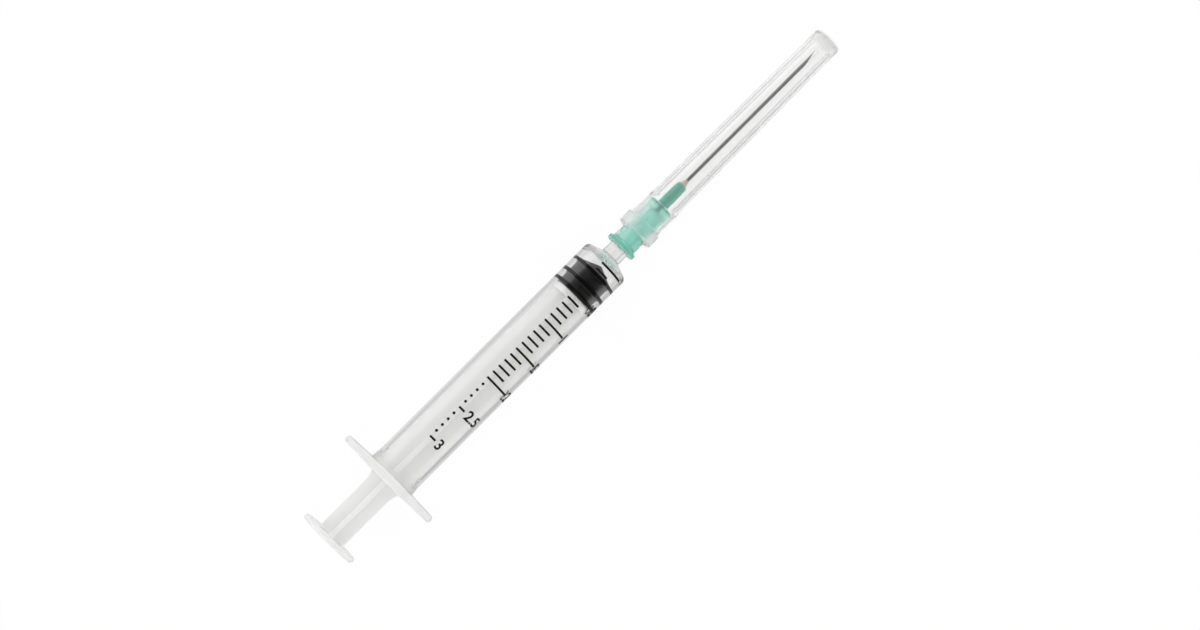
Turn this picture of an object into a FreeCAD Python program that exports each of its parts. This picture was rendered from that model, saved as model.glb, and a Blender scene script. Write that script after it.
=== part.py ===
import FreeCAD, Part
import Sketcher
import math
import os

# A disposable 3 mL luer-slip syringe with a 21G x 38 mm needle under its sheath.
# Lengths in millimetres. The syringe lies along X with the needle to +X and the
# finger flange resting on the surface; the ink scale faces up.
# Every piece is drawn from its own rear end, on its own axis, and then placed.

SIZES = {
    # Barrel tube
    "barrel_bore": 8.9,
    "barrel_wall": 0.9,
    "bore_depth": 60.94,
    "end_wall": 1.15,
    "shoulder_rise": 1.25,
    "shoulder_radius": 1.0,
    "nozzle_root_radius": 0.3,
    "end_cone_rise": 1.9,
    "bore_mouth_bevel": 0.3,
    "root_flare_height": 0.2,
    "root_flare_length": 2.0,
    # Ring inside the barrel's mouth that keeps the stopper from being pulled out
    "stop_ring_height": 0.15,
    "stop_ring_width": 1.6,
    "stop_ring_at": 4.54,
    # Luer nozzle, a cone of 6 in 100
    "nozzle_length": 8.5,
    "nozzle_tip_diameter": 3.925,
    "nozzle_bore": 2.1,
    "luer_taper": 0.06,
    # Finger flange
    "flange_span": 23.5,
    "flange_depth": 13.6,
    "flange_root_thickness": 1.9,
    "flange_rear_slope": 0.2,
    "flange_front_slope": 0.32,
    "flange_rim_radius": 0.5,
    "flange_corner_radius": 3.0,
    # Ink scale
    "ink_thickness": 0.035,
    "mark_width": 0.33,
    "mark_start_angle": -5.5,
    "short_mark_angle": 33.1,
    "long_mark_angle": 66.0,
    "dash_start_angle": -3.0,
    "dash_angle": 16.0,
    "dot_centre_angle": -1.0,
    "dot_diameter": 0.5,
    "zero_line_gap": 0.1,
    # Stopper
    "dose_left": 0.13,
    "stopper_length": 6.2,
    "stopper_clearance": 0.03,
    "stopper_groove_depth": 0.47,
    "stopper_cone_rise": 1.9,
    "stopper_apex_diameter": 0.6,
    "front_ring_width": 0.75,
    "middle_ring_at": 2.45,
    "middle_ring_width": 0.9,
    "rear_ring_width": 0.88,
    "ring_bevel": 0.16,
    "cavity_mouth_depth": 1.3,
    # Plunger rod
    "rod_length": 68.57,
    "rod_width": 8.4,
    "rod_waist_width": 6.2,
    "rod_flare_at": 14.2,
    "rod_flare_length": 3.7,
    "rod_flare_radius": 3.0,
    "rib_thickness": 1.15,
    "thumb_disc_diameter": 13.2,
    "thumb_disc_thickness": 1.2,
    "thumb_disc_rim_radius": 0.55,
    "head_disc_thickness": 1.4,
    "head_clearance": 0.1,
    "neck_diameter": 3.0,
    "knob_diameter": 4.6,
    "knob_land": 1.0,
    "knob_nose_length": 1.4,
    "knob_nose_diameter": 1.8,
    "knob_clearance": 0.1,
    # Needle hub
    "hub_mouth_diameter": 4.31,
    "luer_clearance": 0.02,
    "hub_collar_diameter": 6.8,
    "hub_collar_length": 0.8,
    "hub_collar_bevel": 0.4,
    "hub_body_diameter": 5.6,
    "hub_body_length": 12.0,
    "hub_body_edge": 0.25,
    "hub_cavity_depth": 10.4,
    "hub_nose_length": 6.0,
    "hub_nose_root_diameter": 2.6,
    "hub_nose_tip_diameter": 2.3,
    "hub_nose_edge": 0.2,
    "glue_well_depth": 1.2,
    "glue_well_diameter": 1.6,
    # Needle tube
    "needle_diameter": 0.8,
    "needle_bore": 0.51,
    "needle_reach": 39.3,
    "needle_root": 7.5,
    "bevel_length": 4.1,
    "lancet_length": 1.7,
    "lancet_angle": 32.0,
    "glue_gap": 0.02,
    # Adhesive bead
    "glue_bead_length": 1.4,
    "glue_bead_root_diameter": 1.8,
    "glue_bead_tip_diameter": 0.96,
    # Needle sheath
    "sheath_point_gap": 2.05,
    "sheath_collar_diameter": 8.15,
    "sheath_collar_length": 2.9,
    "sheath_collar_edge": 0.3,
    "sheath_root_diameter": 7.25,
    "sheath_shoulder_at": 9.1,
    "sheath_shoulder_diameter": 7.1,
    "sheath_shoulder_slope": 1.1,
    "sheath_waist_diameter": 6.85,
    "sheath_tip_diameter": 6.15,
    "sheath_end_radius": 0.6,
    "sheath_end_wall": 1.5,
    "sheath_socket_depth": 8.1,
    "sheath_socket_clearance": 0.03,
    "sheath_socket_slope": 0.4,
    "sheath_seat_gap": 0.25,
    "sheath_bore_root": 5.0,
    "sheath_bore_step_at": 39.5,
    "sheath_bore_step": 4.6,
    "sheath_bore_tip": 3.7,
    "sheath_rib_width": 0.4,
    "sheath_rib_height": 0.3,
}

TENTHS_ON_SOLID_SCALE = 20
TENTHS_ON_FULL_SCALE = 30
TENTHS_PER_LONG_MARK = 5
SHEATH_RIBS = 4

doc = FreeCAD.newDocument("syringe")
sheet = doc.addObject("Spreadsheet::Sheet", "Sizes")
for row, (name, size) in enumerate(SIZES.items(), start=1):
    sheet.set(f"A{row}", name)
    sheet.set(f"B{row}", str(size))
    sheet.setAlias(f"B{row}", name)
doc.recompute()


def value(expression):
    """The number that an expression on the sheet works out to."""
    result = sheet.evalExpression(str(expression))
    return float(getattr(result, "Value", result))


def bind(thing, settings):
    for setting, expression in settings.items():
        thing.setExpression(setting, str(expression))


# Sizes and places that follow from the sheet. Places are counted along the axis
# from the rear face of the barrel's flange.

BORE_RADIUS = "(Sizes.barrel_bore / 2)"
BARREL_RADIUS = f"({BORE_RADIUS} + Sizes.barrel_wall)"
SHOULDER = "(Sizes.bore_depth + Sizes.end_wall)"
NOZZLE_ROOT = f"({SHOULDER} + Sizes.shoulder_rise)"
NOZZLE_TIP = f"({NOZZLE_ROOT} + Sizes.nozzle_length)"
FLANGE_RADIUS = "(Sizes.flange_span / 2)"
AXIS_HEIGHT = "(Sizes.flange_depth / 2)"

ZERO_LINE = "(Sizes.bore_depth - Sizes.zero_line_gap)"
LENGTH_PER_ML = f"(1000 / (pi * {BORE_RADIUS} * {BORE_RADIUS}))"

STOPPER_RADIUS = f"({BORE_RADIUS} - Sizes.stopper_clearance)"
STOPPER_REAR = f"({ZERO_LINE} - Sizes.dose_left * {LENGTH_PER_ML} - Sizes.stopper_length)"
ROD_REAR = f"({STOPPER_REAR} - Sizes.head_clearance - Sizes.rod_length)"

LUER_GRIP = ("((Sizes.hub_mouth_diameter - 2 * Sizes.luer_clearance - Sizes.nozzle_tip_diameter)"
             " / Sizes.luer_taper)")
HUB_REAR = f"({NOZZLE_TIP} - {LUER_GRIP})"
HUB_LENGTH = "(Sizes.hub_body_length + Sizes.hub_nose_length)"
NEEDLE_RADIUS = "(Sizes.needle_diameter / 2)"
NEEDLE_HOLE_RADIUS = f"({NEEDLE_RADIUS} + Sizes.glue_gap)"
NEEDLE_REAR = f"({HUB_REAR} + {HUB_LENGTH} - Sizes.needle_root)"
GLUE_REAR = f"({HUB_REAR} + {HUB_LENGTH} - Sizes.glue_well_depth)"

SHEATH_MOUTH = f"({HUB_REAR} + Sizes.hub_body_length + Sizes.sheath_seat_gap - Sizes.sheath_socket_depth)"
SHEATH_BORE_END = ("(Sizes.sheath_socket_depth - Sizes.sheath_seat_gap + Sizes.hub_nose_length"
                   " + Sizes.needle_reach + Sizes.sheath_point_gap)")
SHEATH_LENGTH = f"({SHEATH_BORE_END} + Sizes.sheath_end_wall)"
SHEATH_END = f"({SHEATH_MOUTH} + {SHEATH_LENGTH})"
MIDDLE = f"(({ROD_REAR} + {SHEATH_END}) / 2)"


def place(piece, rear):
    """Puts a piece with its rear end at a place along the syringe's axis."""
    bind(piece, {"Placement.Base.x": f"{rear} - {MIDDLE}", "Placement.Base.z": AXIS_HEIGHT})


def new_body(label):
    body = doc.addObject("PartDesign::Body", label)
    body.Label = label
    return body


def new_sketch(body, name, plane):
    sketch = body.newObject("Sketcher::SketchObject", name)
    origin_plane = next(item for item in body.Origin.OriginFeatures if item.Role == plane)
    sketch.AttachmentSupport = (origin_plane, [""])
    sketch.MapMode = "FlatFace"
    return sketch


def outline(body, name, plane, corners):
    """A closed outline whose corners are each held by two sizes, along and across the axis."""
    sketch = new_sketch(body, name, plane)
    points = [FreeCAD.Vector(value(along), value(across), 0) for along, across in corners]
    sides = [Part.LineSegment(start, end) for start, end in zip(points, points[1:] + points[:1])]
    sketch.addGeometry(sides, False)
    for side in range(len(sides)):
        sketch.addConstraint(Sketcher.Constraint("Coincident", side, 2, (side + 1) % len(sides), 1))
    for side, (along, across) in enumerate(corners):
        for kind, expression in (("DistanceX", along), ("DistanceY", across)):
            held = sketch.addConstraint(Sketcher.Constraint(kind, -1, 1, side, 1, value(expression)))
            bind(sketch, {f"Constraints[{held}]": expression})
    return sketch


def turned(body, kind, name, corners):
    """A Revolution or a Groove of an outline about the piece's long axis."""
    sketch = outline(body, f"{name}_outline", "XY_Plane", corners)
    feature = body.newObject(f"PartDesign::{kind}", name)
    feature.Profile = sketch
    feature.ReferenceAxis = (sketch, ["H_Axis"])
    feature.Angle = 360
    doc.recompute()
    return feature


def slab(body, kind, name, corners, thickness):
    """A Pad or a Pocket of an outline, half of its thickness to each side of the axis."""
    sketch = outline(body, f"{name}_outline", "XY_Plane", corners)
    feature = body.newObject(f"PartDesign::{kind}", name)
    feature.Profile = sketch
    feature.Midplane = True
    bind(feature, {"Length": thickness})
    doc.recompute()
    return feature


def around_axis(body, name, feature, copies, angle):
    """Copies of a feature, turned about the piece's long axis."""
    pattern = body.newObject("PartDesign::PolarPattern", name)
    pattern.Originals = [feature]
    pattern.Axis = (feature.Profile[0], ["H_Axis"])
    pattern.Angle = angle
    pattern.Occurrences = copies
    body.Tip = pattern
    doc.recompute()
    return pattern


def rounded(body, name, wanted, radius):
    """Rounds the edges of the body so far that pass a test."""
    base = body.Tip
    edges = [f"Edge{number}" for number, edge in enumerate(base.Shape.Edges, start=1) if wanted(edge)]
    fillet = body.newObject("PartDesign::Fillet", name)
    fillet.Base = (base, edges)
    bind(fillet, {"Radius": radius})
    doc.recompute()
    return fillet


def is_ring(along, radius):
    """A test for the round edge at a place along the axis."""
    place_along, ring_radius = value(along), value(radius)

    def wanted(edge):
        return (isinstance(edge.Curve, Part.Circle)
                and math.isclose(edge.Curve.Center.x, place_along, abs_tol=1e-4)
                and math.isclose(edge.Curve.Radius, ring_radius, abs_tol=1e-4))

    return wanted


def off_axis(point):
    return math.hypot(point.y, point.z)


def make_barrel():
    """One clear moulding: tube, stop ring, shoulder, luer nozzle and finger flange."""
    barrel = new_body("barrel")
    root_radius = f"({BARREL_RADIUS} + Sizes.root_flare_height)"
    mouth_radius = f"({BORE_RADIUS} + Sizes.bore_mouth_bevel)"
    tip_radius = "(Sizes.nozzle_tip_diameter / 2)"
    nozzle_root_radius = f"({tip_radius} + Sizes.luer_taper * Sizes.nozzle_length / 2)"
    lumen_radius = "(Sizes.nozzle_bore / 2)"

    flange = barrel.newObject("PartDesign::Pad", "flange")
    flange.Profile = flange_plan(barrel)
    bind(flange, {"Length": "Sizes.flange_root_thickness"})
    doc.recompute()
    past_rim = f"({FLANGE_RADIUS} + Sizes.flange_root_thickness)"
    slope_reach = f"(({past_rim} - {root_radius}) / ({FLANGE_RADIUS} - {root_radius}))"
    turned(barrel, "Groove", "flange_rear_taper", [
        ("0", root_radius),
        (f"Sizes.flange_rear_slope * {slope_reach}", past_rim),
        ("0", past_rim),
    ])
    turned(barrel, "Groove", "flange_front_taper", [
        ("Sizes.flange_root_thickness", root_radius),
        ("Sizes.flange_root_thickness", past_rim),
        (f"Sizes.flange_root_thickness - Sizes.flange_front_slope * {slope_reach}", past_rim),
    ])
    rim_reach = value(FLANGE_RADIUS)
    root_reach = value(root_radius)
    root_thickness = value("Sizes.flange_root_thickness")

    def is_plan_corner(edge):
        return (isinstance(edge.Curve, Part.Line) and abs(edge.Curve.Direction.x) > 0.9
                and math.isclose(off_axis(edge.CenterOfMass), rim_reach, abs_tol=0.01))

    def is_rim(edge):
        return edge.BoundBox.XLength < root_thickness / 2 and off_axis(edge.CenterOfMass) > root_reach

    rounded(barrel, "flange_corners", is_plan_corner, "Sizes.flange_corner_radius")
    rounded(barrel, "flange_rim", is_rim, "Sizes.flange_rim_radius")

    turned(barrel, "Revolution", "tube_outside", [
        ("0", "0"),
        ("0", root_radius),
        ("Sizes.flange_root_thickness", root_radius),
        ("Sizes.flange_root_thickness + Sizes.root_flare_length", BARREL_RADIUS),
        (SHOULDER, BARREL_RADIUS),
        (NOZZLE_ROOT, nozzle_root_radius),
        (NOZZLE_TIP, tip_radius),
        (NOZZLE_TIP, "0"),
    ])
    rounded(barrel, "shoulder_round", is_ring(SHOULDER, BARREL_RADIUS), "Sizes.shoulder_radius")
    rounded(barrel, "nozzle_root_round", is_ring(NOZZLE_ROOT, nozzle_root_radius), "Sizes.nozzle_root_radius")
    turned(barrel, "Groove", "tube_bore", [
        ("0", "0"),
        ("0", mouth_radius),
        ("2 * Sizes.bore_mouth_bevel", BORE_RADIUS),
        ("Sizes.stop_ring_at - Sizes.stop_ring_width / 2", BORE_RADIUS),
        ("Sizes.stop_ring_at", f"{BORE_RADIUS} - Sizes.stop_ring_height"),
        ("Sizes.stop_ring_at + Sizes.stop_ring_width / 2", BORE_RADIUS),
        ("Sizes.bore_depth", BORE_RADIUS),
        ("Sizes.bore_depth + Sizes.end_cone_rise", lumen_radius),
        (NOZZLE_TIP, lumen_radius),
        (NOZZLE_TIP, "0"),
    ])
    place(barrel, "0")
    return barrel


def flange_plan(barrel):
    """Seen along the barrel: a disc with two flat sides, so that it doesn't roll."""
    sketch = new_sketch(barrel, "flange_plan", "YZ_Plane")
    radius = value(FLANGE_RADIUS)
    half_depth = value(AXIS_HEIGHT)
    reach = math.sqrt(radius ** 2 - half_depth ** 2)
    swing = math.asin(half_depth / radius)
    circle = Part.Circle(FreeCAD.Vector(0, 0, 0), FreeCAD.Vector(0, 0, 1), radius)
    right, top, left, bottom = sketch.addGeometry([
        Part.ArcOfCircle(circle, -swing, swing),
        Part.LineSegment(FreeCAD.Vector(reach, half_depth, 0), FreeCAD.Vector(-reach, half_depth, 0)),
        Part.ArcOfCircle(circle, math.pi - swing, math.pi + swing),
        Part.LineSegment(FreeCAD.Vector(-reach, -half_depth, 0), FreeCAD.Vector(reach, -half_depth, 0)),
    ], False)
    for first, second in ((right, top), (top, left), (left, bottom), (bottom, right)):
        sketch.addConstraint(Sketcher.Constraint("Coincident", first, 2, second, 1))
    for arc in (right, left):
        sketch.addConstraint(Sketcher.Constraint("Coincident", arc, 3, -1, 1))
    for side in (top, bottom):
        sketch.addConstraint(Sketcher.Constraint("Horizontal", side))
    sketch.addConstraint(Sketcher.Constraint("Equal", right, left))
    held = sketch.addConstraint(Sketcher.Constraint("Radius", right, radius))
    bind(sketch, {f"Constraints[{held}]": FLANGE_RADIUS})
    held = sketch.addConstraint(Sketcher.Constraint("DistanceY", -1, 1, top, 1, half_depth))
    bind(sketch, {f"Constraints[{held}]": AXIS_HEIGHT})
    held = sketch.addConstraint(Sketcher.Constraint("DistanceY", bottom, 1, -1, 1, half_depth))
    bind(sketch, {f"Constraints[{held}]": AXIS_HEIGHT})
    return sketch


def make_scale_marks():
    """Ink on the barrel's top: lines for each tenth of a millilitre, then a dotted extension."""
    onto_axis = FreeCAD.Rotation(FreeCAD.Vector(1, 0, 1), 180)
    outside = f"{BARREL_RADIUS} + Sizes.ink_thickness"
    marks = []

    def around(angle_name):
        return FreeCAD.Rotation(FreeCAD.Vector(1, 0, 0), value(f"Sizes.{angle_name}"))

    def add_line(tenth, start_angle, swept_angle):
        line = doc.addObject("Part::Cylinder", f"line_{tenth}")
        line.Placement = FreeCAD.Placement(FreeCAD.Vector(), around(start_angle) * onto_axis)
        bind(line, {
            "Radius": outside,
            "Height": "Sizes.mark_width",
            "Angle": f"Sizes.{swept_angle}",
            "Placement.Base.x": f"{ZERO_LINE} - {tenth} * {LENGTH_PER_ML} / 10 - Sizes.mark_width / 2",
        })
        marks.append(line)

    def add_dot(tenth):
        dot = doc.addObject("Part::Cylinder", f"dot_{tenth}")
        dot.Placement = FreeCAD.Placement(FreeCAD.Vector(), around("dot_centre_angle"))
        bind(dot, {
            "Radius": "Sizes.dot_diameter / 2",
            "Height": outside,
            "Placement.Base.x": f"{ZERO_LINE} - {tenth} * {LENGTH_PER_ML} / 10",
        })
        marks.append(dot)

    for tenth in range(TENTHS_ON_FULL_SCALE + 1):
        labelled = tenth % TENTHS_PER_LONG_MARK == 0
        if tenth <= TENTHS_ON_SOLID_SCALE:
            add_line(tenth, "mark_start_angle", "long_mark_angle" if labelled else "short_mark_angle")
        elif labelled:
            add_line(tenth, "dash_start_angle", "dash_angle")
        else:
            add_dot(tenth)

    together = doc.addObject("Part::MultiFuse", "marks_to_axis")
    together.Shapes = marks
    core = doc.addObject("Part::Cylinder", "barrel_outside")
    core.Placement = FreeCAD.Placement(FreeCAD.Vector(), onto_axis)
    bind(core, {"Radius": BARREL_RADIUS, "Height": SHOULDER})
    scale = doc.addObject("Part::Cut", "scale_marks")
    scale.Label = "scale_marks"
    scale.Base = together
    scale.Tool = core
    place(scale, "0")
    return scale


def make_stopper():
    """Black rubber piston with three sealing rings, a coned front and a cavity for the knob."""
    stopper = new_body("stopper")
    groove_radius = f"({STOPPER_RADIUS} - Sizes.stopper_groove_depth)"
    edge_radius = f"({STOPPER_RADIUS} - Sizes.ring_bevel)"
    front_ring_at = "(Sizes.stopper_length - Sizes.front_ring_width)"
    middle_ring_end = "(Sizes.middle_ring_at + Sizes.middle_ring_width)"
    chamber_rear = "Sizes.cavity_mouth_depth"
    chamber_land = f"({chamber_rear} + Sizes.knob_land + 2 * Sizes.knob_clearance)"
    chamber_front = f"({chamber_land} + Sizes.knob_nose_length)"
    hole_radius = "(Sizes.neck_diameter / 2 + Sizes.knob_clearance)"
    chamber_radius = "(Sizes.knob_diameter / 2 + Sizes.knob_clearance)"
    nose_radius = "(Sizes.knob_nose_diameter / 2 + Sizes.knob_clearance)"
    turned(stopper, "Revolution", "stopper_turned", [
        ("0", hole_radius),
        ("0", edge_radius),
        ("Sizes.ring_bevel", STOPPER_RADIUS),
        ("Sizes.rear_ring_width - Sizes.ring_bevel", STOPPER_RADIUS),
        ("Sizes.rear_ring_width", groove_radius),
        ("Sizes.middle_ring_at", groove_radius),
        ("Sizes.middle_ring_at + Sizes.ring_bevel", STOPPER_RADIUS),
        (f"{middle_ring_end} - Sizes.ring_bevel", STOPPER_RADIUS),
        (middle_ring_end, groove_radius),
        (front_ring_at, groove_radius),
        (f"{front_ring_at} + Sizes.ring_bevel", STOPPER_RADIUS),
        ("Sizes.stopper_length - Sizes.ring_bevel", STOPPER_RADIUS),
        ("Sizes.stopper_length", edge_radius),
        ("Sizes.stopper_length + Sizes.stopper_cone_rise", "Sizes.stopper_apex_diameter / 2"),
        ("Sizes.stopper_length + Sizes.stopper_cone_rise", "0"),
        (chamber_front, "0"),
        (chamber_front, nose_radius),
        (chamber_land, chamber_radius),
        (chamber_rear, chamber_radius),
        (chamber_rear, hole_radius),
    ])
    place(stopper, STOPPER_REAR)
    return stopper


def make_plunger_rod():
    """One milky moulding: thumb disc, cross of four ribs, head disc and the knob for the stopper."""
    rod = new_body("plunger_rod")
    half_waist = "(Sizes.rod_waist_width / 2)"
    half_width = "(Sizes.rod_width / 2)"
    rib_rear = "(Sizes.thumb_disc_thickness / 2)"
    flare_end = "(Sizes.rod_flare_at + Sizes.rod_flare_length)"
    head_rear = "(Sizes.rod_length - Sizes.head_disc_thickness)"
    rib_front = "(Sizes.rod_length - Sizes.head_disc_thickness / 2)"
    rib = slab(rod, "Pad", "rib_pair", [
        (rib_rear, f"-{half_waist}"),
        ("Sizes.rod_flare_at", f"-{half_waist}"),
        (flare_end, f"-{half_width}"),
        (rib_front, f"-{half_width}"),
        (rib_front, half_width),
        (flare_end, half_width),
        ("Sizes.rod_flare_at", half_waist),
        (rib_rear, half_waist),
    ], "Sizes.rib_thickness")
    around_axis(rod, "rib_cross", rib, 2, 90)

    flare_places = (value("Sizes.rod_flare_at"), value(flare_end))

    def is_flare_corner(edge):
        middle = edge.CenterOfMass
        return edge.BoundBox.XLength < 0.001 and any(abs(middle.x - along) < 0.001 for along in flare_places)

    rounded(rod, "flare_rounds", is_flare_corner, "Sizes.rod_flare_radius")
    thumb_radius = "(Sizes.thumb_disc_diameter / 2)"
    turned(rod, "Revolution", "thumb_disc", [
        ("0", "0"),
        ("0", thumb_radius),
        ("Sizes.thumb_disc_thickness", thumb_radius),
        ("Sizes.thumb_disc_thickness", "0"),
    ])
    rear_edge = is_ring("0", thumb_radius)
    front_edge = is_ring("Sizes.thumb_disc_thickness", thumb_radius)
    rounded(rod, "thumb_disc_rim", lambda edge: rear_edge(edge) or front_edge(edge),
            "Sizes.thumb_disc_rim_radius")

    neck_radius = "(Sizes.neck_diameter / 2)"
    knob_radius = "(Sizes.knob_diameter / 2)"
    knob_rear = ("(Sizes.rod_length + Sizes.head_clearance + Sizes.cavity_mouth_depth"
                 " + Sizes.knob_clearance)")
    knob_land_end = f"({knob_rear} + Sizes.knob_land)"
    knob_front = f"({knob_land_end} + Sizes.knob_nose_length)"
    turned(rod, "Revolution", "head_and_knob", [
        (head_rear, "0"),
        (head_rear, half_width),
        ("Sizes.rod_length", half_width),
        ("Sizes.rod_length", neck_radius),
        (knob_rear, neck_radius),
        (knob_rear, knob_radius),
        (knob_land_end, knob_radius),
        (knob_front, "Sizes.knob_nose_diameter / 2"),
        (knob_front, "0"),
    ])
    place(rod, ROD_REAR)
    return rod


def make_needle_hub():
    """Green moulding: collar, body with the luer socket, and the nose that holds the tube."""
    hub = new_body("needle_hub")
    mouth_radius = "(Sizes.hub_mouth_diameter / 2)"
    body_radius = "(Sizes.hub_body_diameter / 2)"
    nose_tip_radius = "(Sizes.hub_nose_tip_diameter / 2)"
    socket_end_radius = f"({mouth_radius} - Sizes.luer_taper * Sizes.hub_cavity_depth / 2)"
    turned(hub, "Revolution", "hub_turned", [
        ("0", mouth_radius),
        ("0", "Sizes.hub_collar_diameter / 2"),
        ("Sizes.hub_collar_length", "Sizes.hub_collar_diameter / 2"),
        ("Sizes.hub_collar_length + Sizes.hub_collar_bevel", body_radius),
        ("Sizes.hub_body_length - Sizes.hub_body_edge", body_radius),
        ("Sizes.hub_body_length", f"{body_radius} - Sizes.hub_body_edge"),
        ("Sizes.hub_body_length", "Sizes.hub_nose_root_diameter / 2"),
        (f"{HUB_LENGTH} - Sizes.hub_nose_edge", nose_tip_radius),
        (HUB_LENGTH, f"{nose_tip_radius} - Sizes.hub_nose_edge"),
        (HUB_LENGTH, "Sizes.glue_well_diameter / 2"),
        (f"{HUB_LENGTH} - Sizes.glue_well_depth", NEEDLE_HOLE_RADIUS),
        ("Sizes.hub_cavity_depth", NEEDLE_HOLE_RADIUS),
        ("Sizes.hub_cavity_depth", socket_end_radius),
    ])
    place(hub, HUB_REAR)
    return hub


def make_needle_tube():
    """Hollow steel tube with a long bevel and two lancet grinds that meet in the point."""
    tube = new_body("needle_tube")
    bore_radius = "(Sizes.needle_bore / 2)"
    tip = "(Sizes.needle_root + Sizes.needle_reach)"
    turned(tube, "Revolution", "tube_drawn", [
        ("0", bore_radius),
        ("0", NEEDLE_RADIUS),
        (tip, NEEDLE_RADIUS),
        (tip, bore_radius),
    ])

    def grind(name, length, turn):
        """Takes off what lies below a slope that rises to the point over the grind's length."""
        point_height = f"({NEEDLE_RADIUS} * cos({turn}))"
        rise_per_length = f"(({point_height} + {NEEDLE_RADIUS}) / {length})"
        below = "Sizes.needle_diameter"
        past = f"({tip} + Sizes.needle_diameter)"
        cut = slab(tube, "Pocket", name, [
            (f"{tip} - ({point_height} + {below}) / {rise_per_length}", f"-{below}"),
            (past, f"-{below}"),
            (past, f"{point_height} + Sizes.needle_diameter * {rise_per_length}"),
        ], "4 * Sizes.needle_diameter")
        sketch = cut.Profile[0]
        sketch.AttachmentOffset = FreeCAD.Placement(FreeCAD.Vector(), FreeCAD.Rotation(1, 0, 0, 0))
        bind(sketch, {
            "AttachmentOffset": f"placement(vector(0; 0; 0); rotation(vector(1; 0; 0); {turn}))"})
        doc.recompute()
        return cut

    grind("bevel", "Sizes.bevel_length", "0 deg")
    grind("left_lancet", "Sizes.lancet_length", "Sizes.lancet_angle * 1 deg")
    grind("right_lancet", "Sizes.lancet_length", "-Sizes.lancet_angle * 1 deg")
    place(tube, NEEDLE_REAR)
    return tube


def make_adhesive():
    """Cured adhesive that fills the nose's well and runs up the tube in a small cone."""
    adhesive = new_body("adhesive")
    well_radius = "(Sizes.glue_well_diameter / 2 - Sizes.glue_gap)"
    outside_nose = "(Sizes.glue_well_depth + Sizes.glue_gap)"
    turned(adhesive, "Revolution", "bead", [
        ("Sizes.glue_gap", NEEDLE_HOLE_RADIUS),
        ("Sizes.glue_well_depth", well_radius),
        (outside_nose, "Sizes.glue_bead_root_diameter / 2"),
        ("Sizes.glue_well_depth + Sizes.glue_bead_length", "Sizes.glue_bead_tip_diameter / 2"),
        ("Sizes.glue_well_depth + Sizes.glue_bead_length", NEEDLE_HOLE_RADIUS),
    ])
    place(adhesive, GLUE_REAR)
    return adhesive


def make_needle_sheath():
    """Clear tapered cap with a socket that grips the hub, a stepped bore and four inner ribs."""
    sheath = new_body("needle_sheath")
    collar_radius = "(Sizes.sheath_collar_diameter / 2)"
    socket_radius = "(Sizes.hub_body_diameter / 2 + Sizes.sheath_socket_clearance)"
    waist_at = "(Sizes.sheath_shoulder_at + Sizes.sheath_shoulder_slope)"
    tip_radius = "(Sizes.sheath_tip_diameter / 2)"
    bore_at = "(Sizes.sheath_socket_depth + Sizes.sheath_socket_slope)"
    turned(sheath, "Revolution", "sheath_turned", [
        ("0", socket_radius),
        ("0", collar_radius),
        ("Sizes.sheath_collar_length", collar_radius),
        ("Sizes.sheath_collar_length", "Sizes.sheath_root_diameter / 2"),
        ("Sizes.sheath_shoulder_at", "Sizes.sheath_shoulder_diameter / 2"),
        (waist_at, "Sizes.sheath_waist_diameter / 2"),
        (SHEATH_LENGTH, tip_radius),
        (SHEATH_LENGTH, "0"),
        (SHEATH_BORE_END, "0"),
        (SHEATH_BORE_END, "Sizes.sheath_bore_tip / 2"),
        ("Sizes.sheath_bore_step_at", "Sizes.sheath_bore_tip / 2"),
        ("Sizes.sheath_bore_step_at", "Sizes.sheath_bore_step / 2"),
        (bore_at, "Sizes.sheath_bore_root / 2"),
        ("Sizes.sheath_socket_depth", socket_radius),
    ])
    rounded(sheath, "end_round", is_ring(SHEATH_LENGTH, tip_radius), "Sizes.sheath_end_radius")
    collar_rear = is_ring("0", collar_radius)
    collar_front = is_ring("Sizes.sheath_collar_length", collar_radius)
    rounded(sheath, "collar_edges", lambda edge: collar_rear(edge) or collar_front(edge),
            "Sizes.sheath_collar_edge")
    rib = slab(sheath, "Pad", "inner_rib", [
        (bore_at, "Sizes.sheath_bore_root / 2 - Sizes.sheath_rib_height"),
        ("Sizes.sheath_bore_step_at", "Sizes.sheath_bore_step / 2 - Sizes.sheath_rib_height"),
        ("Sizes.sheath_bore_step_at", "Sizes.sheath_bore_step / 2 + Sizes.sheath_rib_height"),
        (bore_at, "Sizes.sheath_bore_root / 2 + Sizes.sheath_rib_height"),
    ], "Sizes.sheath_rib_width")
    around_axis(sheath, "inner_ribs", rib, SHEATH_RIBS, 360)
    place(sheath, SHEATH_MOUTH)
    return sheath


pieces = [
    make_barrel(),
    make_scale_marks(),
    make_stopper(),
    make_plunger_rod(),
    make_needle_hub(),
    make_needle_tube(),
    make_adhesive(),
    make_needle_sheath(),
]
doc.recompute()

for item in doc.Objects:
    if "Invalid" in item.State or "Error" in item.State:
        raise RuntimeError(f"{item.Label} failed: {item.State}")
for piece in pieces:
    if piece.Shape.isNull() or not piece.Shape.isValid() or not piece.Shape.Solids:
        raise RuntimeError(f"{piece.Label} has no valid solid")

os.makedirs("parts", exist_ok=True)
for piece in pieces:
    piece.Shape.exportStep(f"parts/{piece.Label}.step")
    box = piece.Shape.BoundBox
    print(f"{piece.Label}: {len(piece.Shape.Solids)} solids, {piece.Shape.Volume:.2f} mm3, "
          f"X {box.XMin:.2f} to {box.XMax:.2f}, Z {box.ZMin:.2f} to {box.ZMax:.2f}")
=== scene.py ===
import math

import bpy
from mathutils import Matrix, Vector


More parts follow.
